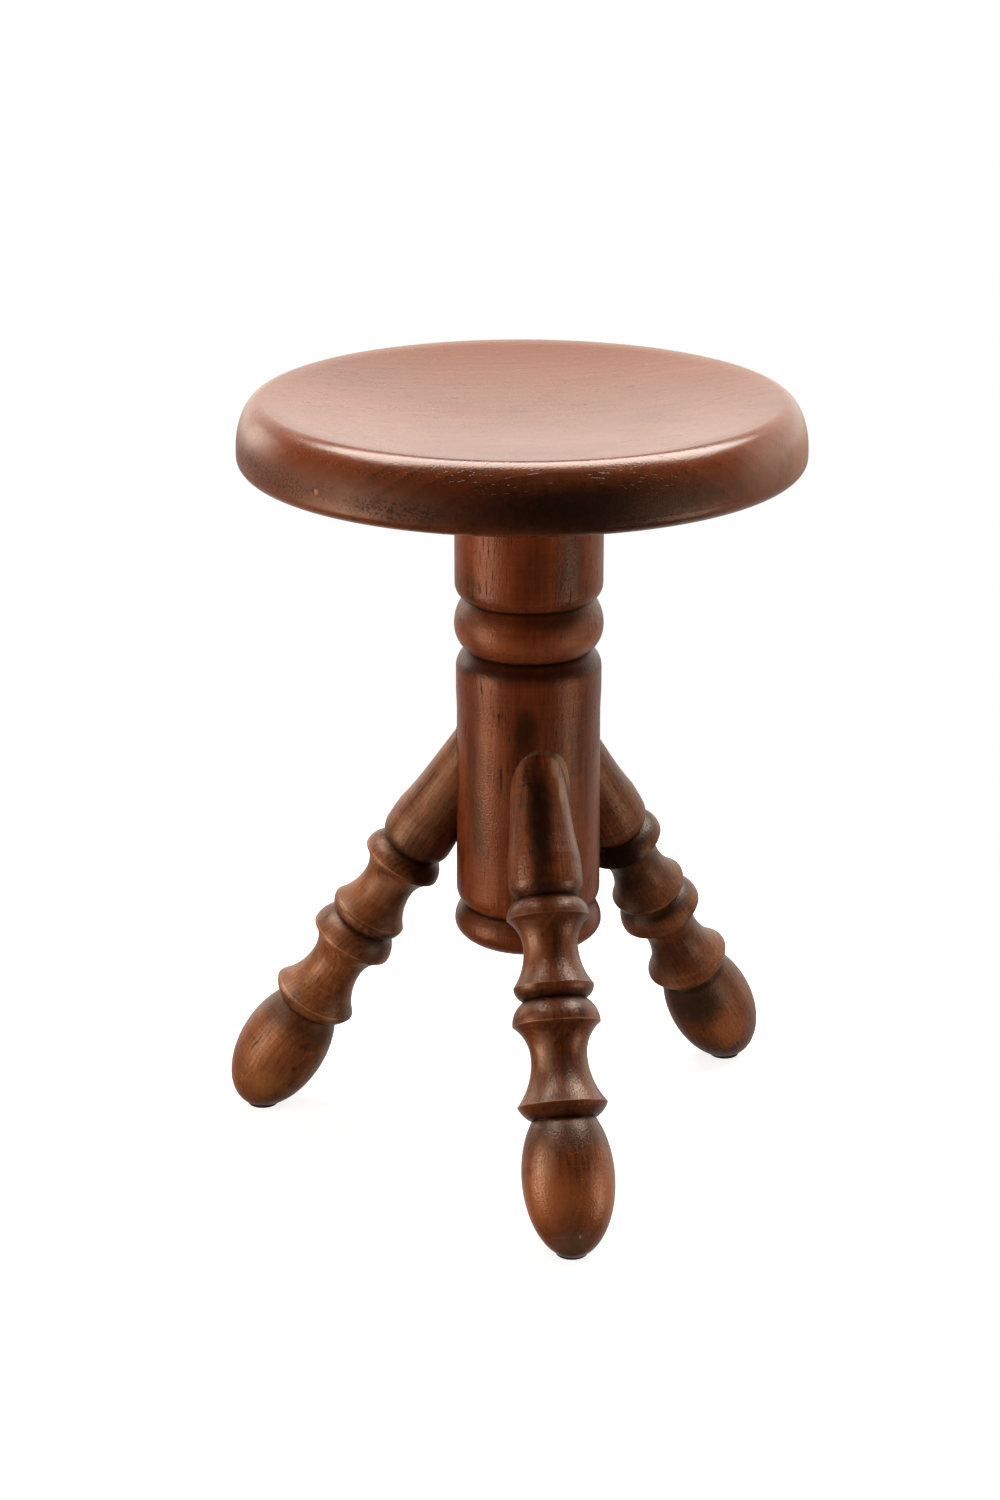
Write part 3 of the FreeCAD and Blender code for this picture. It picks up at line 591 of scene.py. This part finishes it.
LEG_MARKS = {
    "front": (
        # Painted shade: the dark streak down the cone.
        spot_at((-0.0185, -0.0032, 0.098), (0.016, 0.0115, 0.07), 0.93, BLACK_AND_PAINTED_SHADE),
        spot_at((-0.0132, 0.0085, 0.064), (0.005, 0.004, 0.009), 0.55, FILLED, 1.4),
        spot_at((-0.0128, 0.0112, 0.079), (0.004, 0.0022, 0.014), 0.5, FILLED, 1.4),
        band_at(0.31, 0.022, 0.6, ORANGE_AND_PAINTED_SHEEN, 0.3),
        spot_at((-0.0156, 0.0009, 0.167), (0.01, 0.006, 0.022), 0.55, BLACK_AND_PAINTED_SHADE),
        spot_at((-0.0161, 0.0014, 0.232), (0.01, 0.006, 0.022), 0.4, BLACK_AND_PAINTED_SHADE),
        band_at(0.15, 0.022, 0.5, DARK_STAIN_AND_PAINTED_SHADE, 0.6),
        band_at(0.19, 0.022, 0.4, DARK_STAIN_AND_PAINTED_SHADE, 0.6),
        band_at(0.24, 0.022, 0.4, DARK_STAIN_AND_PAINTED_SHADE, 0.6),
        # Orange wood with painted sheen at the left and right of the foot.
        spot_at((-0.0195, -0.0165, 0.306), (0.02, 0.017, 0.027), 0.6, ORANGE_AND_PAINTED_SHEEN),
        spot_at((-0.017, 0.019, 0.303), (0.018, 0.014, 0.027), 0.4, ORANGE_AND_PAINTED_SHEEN),
        # Painted highlights in the two coves and on the left of the foot; the foot's end is painted
        # brighter.
        spot_at((-0.0115, -0.0117, 0.1596), (0.009, 0.008, 0.018), 0.4, PAINTED_BRIGHTER),
        spot_at((-0.0131, -0.0096, 0.2252), (0.009, 0.008, 0.02), 0.5, PAINTED_BRIGHTER),
        spot_at((-0.0207, -0.0154, 0.287), (0.01, 0.01, 0.018), 0.35, PAINTED_BRIGHTER),
        spot_at((-0.0158, -0.0013, 0.3345), (0.022, 0.024, 0.012), 0.55, PAINTED_FOOT_END),
        spot_at((-0.0168, 0.0015, 0.3304), (0.0016, 0.0008, 0.0018), 0.8, CHIPPED, 0.2),
    ),
    "left": (
        # Painted shade on the lower sides of the first ring and of the cone.
        spot_at((0.015, 0.0165, 0.142), (0.018, 0.018, 0.01), 0.92, BLACK_AND_PAINTED_SHADE),
        spot_at((0.015, 0.016, 0.112), (0.011, 0.016, 0.045), 0.25, DARK_STAIN_AND_PAINTED_SHADE),
        # Painted highlights on the cone and in the upper cove.
        spot_at((-0.002, 0.0189, 0.1029), (0.012, 0.01, 0.034), 0.28, PAINTED_BRIGHTER),
        spot_at((-0.0003, 0.0162, 0.1606), (0.009, 0.008, 0.018), 0.35, PAINTED_BRIGHTER),
        # Painted sheen on orange wood across the upper cove.
        band_at(0.178, 0.016, 0.35, ORANGE_AND_PAINTED_SHEEN, 0.4),
        # Painted shade on the lower sides of the lower rings.
        spot_at((0.0155, 0.015, 0.198), (0.015, 0.016, 0.012), 0.85, BLACK_AND_PAINTED_SHADE),
        spot_at((0.023, 0.008, 0.2535), (0.014, 0.016, 0.01), 0.6, DARK_STAIN_AND_PAINTED_SHADE),
        spot_at((-0.0214, 0.0142, 0.286), (0.0028, 0.0028, 0.0028), 0.7, DARK_STAIN_AND_PAINTED_SHADE, 0.3),
        spot_at((0.003, 0.0238, 0.3144), (0.018, 0.014, 0.02), 0.35, YELLOWED),
        spot_at((0.0117, 0.0235, 0.2957), (0.0026, 0.0026, 0.0026), 0.8, BLACK_AND_PAINTED_SHADE, 0.3),
    ),
    "right": (
        # Stain and painted shade darken the upper and lower coves.
        band_at(0.16, 0.035, 0.85, DARK_STAIN_AND_PAINTED_SHADE, 0.4),
        band_at(0.232, 0.022, 0.7, DARK_STAIN_AND_PAINTED_SHADE, 0.4),
        # Painted shade on the lower sides of the first and second rings.
        spot_at((0.018, -0.014, 0.143), (0.02, 0.02, 0.013), 0.95, BLACK_AND_PAINTED_SHADE),
        spot_at((0.021, -0.001, 0.186), (0.014, 0.016, 0.012), 0.6, BLACK_AND_PAINTED_SHADE),
        # A darker grey-black patch at the top of the foot.
        spot_at((0.0205, -0.0115, 0.275), (0.022, 0.022, 0.02), 0.8, GREY_BLACK, 1.2),
        # Painted shade in the lower cove.
        spot_at((0.0114, -0.0172, 0.2474), (0.01, 0.01, 0.01), 0.3, DARK_STAIN_AND_PAINTED_SHADE),
        spot_at((0.0148, -0.0213, 0.3), (0.018, 0.014, 0.022), 0.75, ORANGE_AND_PAINTED_SHEEN),
    ),
}
for number, side in enumerate(SIDES):
    leg_wood = wood(
        f"leg_wood_{side}", (BLANK_SHIFT * number, 0, MEETING_HEIGHT), LEG_TURN[side], LEG_TONES[side],
        {"Ring_Scale": 110.0, "Ring_Waviness": 5.0, "Pore_Share": 0.4},
        {"Ring_Strength": 0.22, "Streak_Strength": 0.5, "Fibre_Strength": 0.9, "Tool_Strength": 0.55,
         "Cloud_Strength": 1.2, "Cloud_Scale": 30.0},
        LEG_FILMS[side],
        marks=ALL_LEG_MARKS + LEG_MARKS[side],
    )
    dress(f"leg_{side}", leg_wood)

# %% [markdown]
# Where a leg enters the column, the maker pressed filler into the joint and wiped it, and a thin uneven
# collar stayed round the leg. It is what two fat shapes leave between them: a cone a little wider than the
# leg's own, cut to a film by two cylinders just over and just under the column's surface, and opened by the
# leg's cone. In front, the collar sits off centre, so it is widest on the right, as in the photograph, and
# it is dark with a pale patch there, where the filler was left thick.

# %% Joint filler
CONE_START = 0.042
CONE_END = 0.0866
CONE_START_RADIUS = 0.014
CONE_END_RADIUS = 0.0173
COLUMN_RADIUS = 0.0419
FILM_OVER = 0.0003
FILM_UNDER = 0.0004
COLLAR_WIDTH = 0.0011
SIDEWAYS = {"front": (0.0, 0.0012, 0.0), "left": (0.0, 0.0, 0.0), "right": (0.0, 0.0, 0.0)}
INSET, OVERRUN = 0.006, 0.01
DRUM_HEIGHT, DRUM_CENTRE = 0.12, 0.23
CORE_PLAY = 0.00005
WELD_DISTANCE = 0.00002
SMOOTH_ANGLE = math.radians(40)


def leg_cone(side, name, extra, shift=(0.0, 0.0, 0.0)):
    """A cone on a leg's axis, wider than the leg by extra and shifted in the leg's own axes."""
    slope = (CONE_END_RADIUS - CONE_START_RADIUS) / (CONE_END - CONE_START)
    near, far = CONE_START + INSET, CONE_END + OVERRUN
    radii = [CONE_START_RADIUS + (s - CONE_START) * slope + extra for s in (near, far)]
    bpy.ops.object.select_all(action="DESELECT")
    bpy.ops.mesh.primitive_cone_add(vertices=96, radius1=radii[0], radius2=radii[1], depth=far - near,
                                    location=(0, 0, 0))
    cone = bpy.context.object
    cone.name = name
    turn = Matrix.Translation((0, 0, MEETING_HEIGHT)) @ Euler(LEG_TURN[side]).to_matrix().to_4x4()
    cone.matrix_world = turn @ Matrix.Translation(Vector(shift) + Vector((0, 0, (near + far) / 2)))
    bpy.ops.object.transform_apply(location=True, rotation=True, scale=True)
    return cone


def drum(name, radius):
    """A cylinder on the column's axis over the height of the joints."""
    bpy.ops.object.select_all(action="DESELECT")
    bpy.ops.mesh.primitive_cylinder_add(vertices=256, radius=radius, depth=DRUM_HEIGHT,
                                        location=(0, 0, DRUM_CENTRE))
    made = bpy.context.object
    made.name = name
    bpy.ops.object.transform_apply(location=True, rotation=True, scale=True)
    return made


def cut(piece, cutter, operation):
    """Apply one boolean and delete the cutter."""
    bpy.ops.object.select_all(action="DESELECT")
    bpy.context.view_layer.objects.active = piece
    piece.select_set(True)
    modifier = piece.modifiers.new("cut", "BOOLEAN")
    modifier.object, modifier.operation, modifier.solver = cutter, operation, "EXACT"
    bpy.ops.object.modifier_apply(modifier="cut")
    bpy.data.objects.remove(cutter)


FILLER_TONES = ((0.03, 0.01, 0.004, 1.0), (0.11, 0.04, 0.018, 1.0), (0.2, 0.1, 0.055, 1.0))
joint_filler = wood(
    "joint_filler", (0, 0, MEETING_HEIGHT), (0, 0, 0), FILLER_TONES,
    {"Ring_Scale": 20.0, "Ring_Waviness": 9.0, "Pore_Share": 0.7},
    {"Ring_Strength": 0.0, "Streak_Strength": 0.8, "Fibre_Strength": 0.8, "Cloud_Strength": 1.2,
     "Cloud_Scale": 60.0},
    film(0.55, 0.4, (1.0, 0.8, 0.65)),
    marks=(spot_at((0.014, -0.0397, -0.055), (0.008, 0.01, 0.024), 0.8, FILLED, 0.8),),
)
for side in SIDES:
    collar = leg_cone(side, f"joint_filler_{side}", COLLAR_WIDTH, SIDEWAYS[side])
    cut(collar, drum("over", COLUMN_RADIUS + FILM_OVER), "INTERSECT")
    cut(collar, drum("under", COLUMN_RADIUS - FILM_UNDER), "DIFFERENCE")
    cut(collar, leg_cone(side, "core", CORE_PLAY), "DIFFERENCE")
    bpy.ops.object.mode_set(mode="EDIT")
    bpy.ops.mesh.select_all(action="SELECT")
    bpy.ops.mesh.remove_doubles(threshold=WELD_DISTANCE)
    bpy.ops.mesh.normals_make_consistent(inside=False)
    bpy.ops.object.mode_set(mode="OBJECT")
    bpy.ops.object.shade_smooth_by_angle(angle=SMOOTH_ANGLE)
    collar.data.materials.append(joint_filler)
    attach(collar, "root")
    size_mm = [round(1000 * size, 1) for size in collar.dimensions]
    print(collar.name, size_mm, len(collar.data.polygons), "faces")

# %% [markdown]
# The wedges are hidden in their tenons. They are bare planed hardwood, far paler than the stained pieces,
# so they are mixed from the same groups with pale tones and hardly any gloss.

# %% Wedges
WEDGE_TONES = ((0.3, 0.18, 0.09, 1.0), (0.45, 0.3, 0.17, 1.0), (0.58, 0.42, 0.26, 1.0))
wedge_wood = wood(
    "wedge_wood", (0, 0, MEETING_HEIGHT), (0, 0, 0), WEDGE_TONES,
    {"Ring_Scale": 160.0, "Ring_Waviness": 2.0, "Pore_Share": 0.5},
    {"Ring_Strength": 0.4, "Streak_Strength": 0.6, "Fibre_Strength": 0.8, "Cloud_Strength": 0.6,
     "Cloud_Scale": 60.0},
    film(0.7, 0.3, (1.0, 1.0, 1.0)),
)
dress("seat_wedge", wedge_wood)
dress("leg_wedges", wedge_wood)

# %% [markdown]
# The glides are discs of matt black rubber. Their edges are scuffed grey by the floor, and a fine grit sits
# in the surface. The nails are plain drawn steel with fine scratches.

# %% Glides and nails
RUBBER = (0.014, 0.013, 0.012, 1.0)
SCUFFED = (0.07, 0.064, 0.058, 1.0)
SCUFFS = ((1.0, 1.0, 1.0), 350.0, 5.0, 0.7)
SCUFF_HEIGHT = 0.0012
GRIT = ((1.0, 1.0, 1.0), 2500.0, 3.0, 0.6)
GRIT_DEPTH = 0.00015
DARK_STEEL = (0.4, 0.4, 0.41, 1.0)
BRIGHT_STEEL = (0.6, 0.6, 0.6, 1.0)
SCRATCHES = ((1.0, 1.0, 0.1), 3000.0, 3.0, 0.6)
SCRATCH_DEPTH = 0.00005

glide_rubber, tree = new_material("glide_rubber")
place = add(tree, "TexCoord").outputs["Object"]
scuffs = ranged(tree, pattern(tree, place, SCUFFS), 0.5, 0.75)
near_floor = use(tree, band, Vector=place, Height=0.0, Half_Width=SCUFF_HEIGHT, Broken=0.5)["Mask"]
worn = calc(tree, "MAXIMUM", calc(tree, "MULTIPLY", scuffs, 0.5), near_floor)
grit = pattern(tree, place, GRIT)
grain_bump = add(tree, "Bump", {"Height": grit, "Distance": GRIT_DEPTH, "Strength": 0.8})
rubber = add(tree, "BsdfPrincipled", {
    "Base Color": mixed(tree, worn, RUBBER, SCUFFED),
    "Roughness": ranged(tree, grit, 0.2, 0.8, 0.6, 0.85),
    "Normal": grain_bump.outputs["Normal"],
})
feed(tree, add(tree, "OutputMaterial").inputs["Surface"], rubber.outputs["BSDF"])
for side in SIDES:
    dress(f"glide_{side}", glide_rubber)

nail_steel, tree = new_material("nail_steel")
place = add(tree, "TexCoord").outputs["Object"]
scratches = pattern(tree, place, SCRATCHES)
drawn = add(tree, "Bump", {"Height": scratches, "Distance": SCRATCH_DEPTH, "Strength": 0.6})
steel = add(tree, "BsdfPrincipled", {
    "Base Color": mixed(tree, scratches, DARK_STEEL, BRIGHT_STEEL),
    "Roughness": ranged(tree, scratches, 0.3, 0.7, 0.28, 0.45),
    "Normal": drawn.outputs["Normal"],
})
steel.inputs["Metallic"].default_value = 1.0
feed(tree, add(tree, "OutputMaterial").inputs["Surface"], steel.outputs["BSDF"])
dress("glide_nails", nail_steel)

# %% [markdown]
# The world is the photographer's room. Behind the stool stands a bright backdrop, a little warm in the
# reflections, that fades out between 22 and 40 degrees up, and towards the camera the room is dark. The seat
# and the rims mirror the backdrop, which gives them their pale pink sheen, and the dark front keeps the
# middle of the column deep brown. Camera rays see plain white, like the photograph's background.

# %% Room
BACKDROP_LIGHT = 1.6
BACKDROP_FOOT = math.sin(math.radians(14))
FLOOR_SHARE = 0.4
BACKDROP_TURN = 0.35
BACKDROP_TOP = math.sin(math.radians(22))
BACKDROP_FADE = math.sin(math.radians(40))
ROOM_LIGHT = 0.01
BACKDROP_TINT = (1.0, 0.95, 0.88, 1.0)
BACKDROP_SIDES = (0.25, 0.7)

world = bpy.data.worlds.new("studio")
bpy.context.scene.world = world
world.use_nodes = True
room = world.node_tree
room.nodes.clear()
looking = add(room, "TexCoord").outputs["Generated"]
heading = add(room, "SeparateXYZ", {"Vector": looking}).outputs
turned = calc(room, "ADD", heading["Y"], calc(room, "MULTIPLY", heading["X"], BACKDROP_TURN))
behind = ranged(room, turned, *BACKDROP_SIDES)
above_floor = ranged(room, heading["Z"], -BACKDROP_FOOT, 0.0, FLOOR_SHARE, 1.0)
below_top = ranged(room, heading["Z"], BACKDROP_TOP, BACKDROP_FADE, 1.0, 0.0)
backdrop = calc(room, "MULTIPLY", behind, calc(room, "MULTIPLY", above_floor, below_top))
strength = calc(room, "ADD", calc(room, "MULTIPLY", backdrop, BACKDROP_LIGHT), ROOM_LIGHT)
seen = add(room, "LightPath").outputs["Is Camera Ray"]
strength = calc(room, "MAXIMUM", strength, seen)
tint = mixed(room, seen, BACKDROP_TINT, (1.0, 1.0, 1.0, 1.0))
surround = add(room, "Background", {"Color": tint, "Strength": strength})
feed(room, add(room, "OutputWorld").inputs["Surface"], surround.outputs["Background"])
bpy.context.scene.view_settings.view_transform = "Standard"
print("room: backdrop", BACKDROP_LIGHT)

# %% [markdown]
# Softboxes light the stool from three places: a wide one overhead, and a tall one on each side. The mirror
# image of the overhead one is the white streak on the seat's crest, and those of the side ones are the
# column's two upright bands, the left one stronger. Each place has two lamps. One only lights and the other
# is only mirrored, so that a streak can be as sharp and bright as in the photograph without over-lighting
# the wood. One more lamp, behind on the left, is only mirrored in the seat's rim.

# %% Softboxes
def softbox(name, place, aim, wide, high, brightness, colour, task):
    """A rectangular lamp aimed at a spot. Brightness is its glow per area. Its task is light or sheen."""
    lamp = bpy.data.lights.new(name, "AREA")
    lamp.shape = "RECTANGLE"
    lamp.size, lamp.size_y = wide, high
    lamp.energy = brightness * math.pi * wide * high
    lamp.color = colour
    made = bpy.data.objects.new(name, lamp)
    made.location = place
    made.rotation_euler = (Vector(aim) - Vector(place)).to_track_quat("-Z", "Y").to_euler()
    made.visible_camera = False
    made.visible_diffuse = task == "light"
    made.visible_glossy = task == "sheen"
    bpy.context.scene.collection.objects.link(made)
    print(name, "at", place)


WHITE = (1.0, 1.0, 1.0)
WARM_WHITE = (1.0, 0.82, 0.64)
SOFT_WHITE = (1.0, 0.92, 0.82)
COOL_WHITE = (0.8, 0.92, 1.0)
SOFTBOXES = (
    ("overhead_light", (0.18, 0.2, 1.5), (0.11, 0.0, 0.45), 2.0, 0.55, 10.5, WHITE, "light"),
    ("overhead_sheen", (0.12, 0.25, 1.5), (0.12, 0.0, 0.45), 2.2, 0.9, 15.0, COOL_WHITE, "sheen"),
    ("left_light", (-0.78, -0.17, 0.32), (0.0, 0.0, 0.28), 0.3, 0.62, 10.5, WARM_WHITE, "light"),
    ("left_sheen", (-0.78, -0.17, 0.14), (0.0, 0.0, 0.2), 0.3, 0.4, 8.0, SOFT_WHITE, "sheen"),
    ("right_light", (0.67, -0.4, 0.32), (0.0, 0.0, 0.28), 0.24, 0.62, 6.2, WARM_WHITE, "light"),
    ("right_sheen", (0.67, -0.4, 0.02), (0.0, 0.0, 0.2), 0.24, 0.36, 4.9, SOFT_WHITE, "sheen"),
    ("left_rim_sheen", (-1.0, 0.95, 0.6), (-0.15, 0.0, 0.43), 0.5, 0.5, 2.5, SOFT_WHITE, "sheen"),
)
for lamp_row in SOFTBOXES:
    softbox(*lamp_row)

# %% [markdown]
# The stool stands on a plain pale floor. Its matt paint takes the soft shadows of the feet, and a glow that
# only the camera sees lets the rest vanish into the white surround.

# %% Floor
FLOOR_REACH = 0.55
FLOOR_GLOW = 0.8
FLOOR_DROP = 0.0002
FLOOR_PAINT = (0.5, 0.5, 0.5, 1.0)

floor_paint, paint_tree = new_material("floor_paint")
matt = add(paint_tree, "BsdfDiffuse", {"Color": FLOOR_PAINT})
shine = calc(paint_tree, "MULTIPLY", add(paint_tree, "LightPath").outputs["Is Camera Ray"], FLOOR_GLOW)
glow = add(paint_tree, "Emission", {"Strength": shine})
both = add(paint_tree, "AddShader")
feed(paint_tree, both.inputs[0], matt.outputs["BSDF"])
feed(paint_tree, both.inputs[1], glow.outputs["Emission"])
feed(paint_tree, add(paint_tree, "OutputMaterial").inputs["Surface"], both.outputs["Shader"])
bpy.ops.object.select_all(action="DESELECT")
bpy.ops.mesh.primitive_circle_add(vertices=128, radius=FLOOR_REACH, fill_type="NGON",
                                  location=(0, 0, -FLOOR_DROP))
floor = bpy.context.object
floor.name = "floor"
floor.data.materials.append(floor_paint)
floor.visible_glossy = False
print("floor: radius", FLOOR_REACH)
